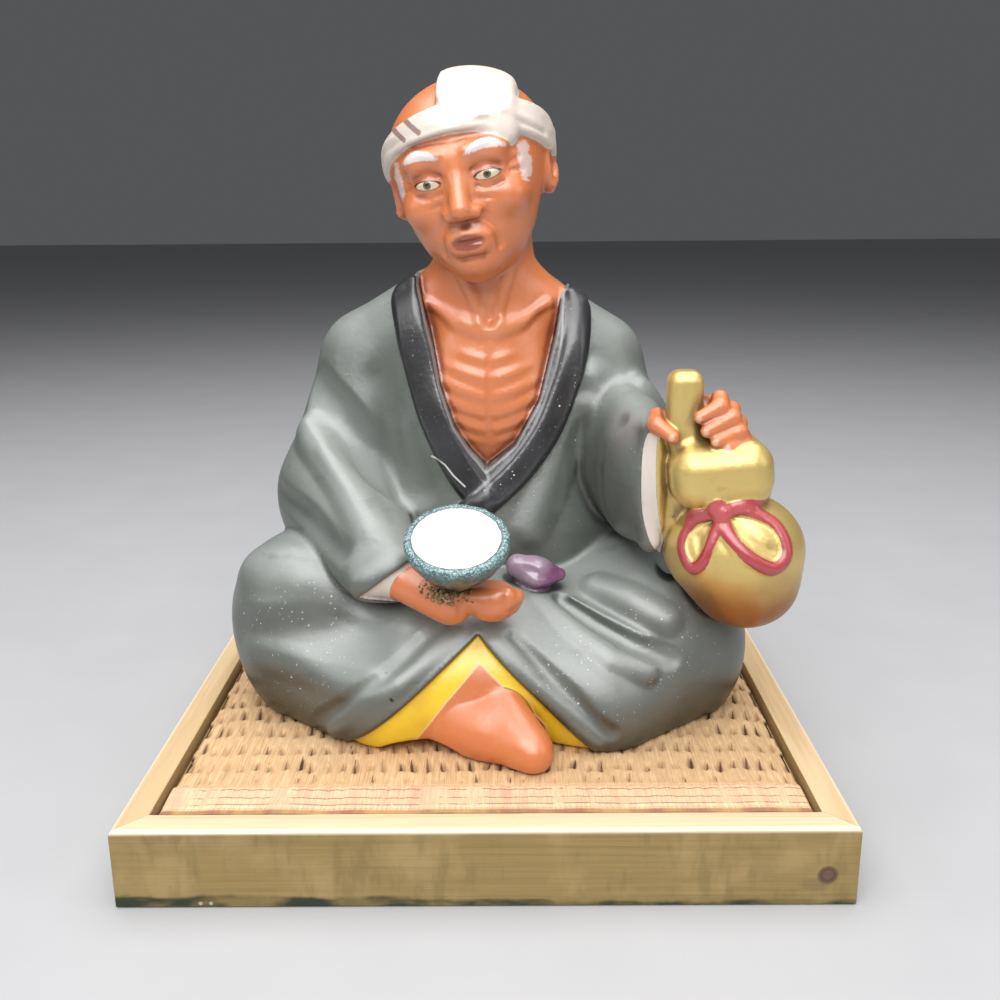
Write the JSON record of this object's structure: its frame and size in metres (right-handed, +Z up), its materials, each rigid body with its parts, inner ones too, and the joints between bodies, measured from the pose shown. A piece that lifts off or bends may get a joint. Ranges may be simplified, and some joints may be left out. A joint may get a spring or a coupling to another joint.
{
  "type": "seated man figurine",
  "caption": "Painted clay figurine of an old man seated cross-legged in a robe with a cup and a gourd, on a framed wooden base with a woven rush mat.",
  "frame": {"origin": "centre of the base's underside", "axes": "+Z up, -Y the way the man faces, +X to his left hand, which holds the gourd"},
  "size_m": [0.15, 0.15, 0.1677],
  "materials": {
    "painted_clay": "satin paint: grey-green robe, black collar, terracotta skin, white headband, yellow lining, gold gourd with a crimson ribbon",
    "cup_paint": "teal paint outside, white inside",
    "rush": "matte woven rush",
    "hem_cloth": "matte plain weave",
    "light_wood": "planed, unvarnished, softened edges",
    "board_wood": "plain board"
  },
  "bodies": {
    "root": {"figure": "painted_clay", "cup": "cup_paint", "mat": "rush", "mat_hem_front": "hem_cloth", "mat_hem_back": "hem_cloth", "base_board": "board_wood", "rail_front": "light_wood", "rail_left": "light_wood", "rail_right": "light_wood", "rail_back": "light_wood"}
  },
  "joints": []
}
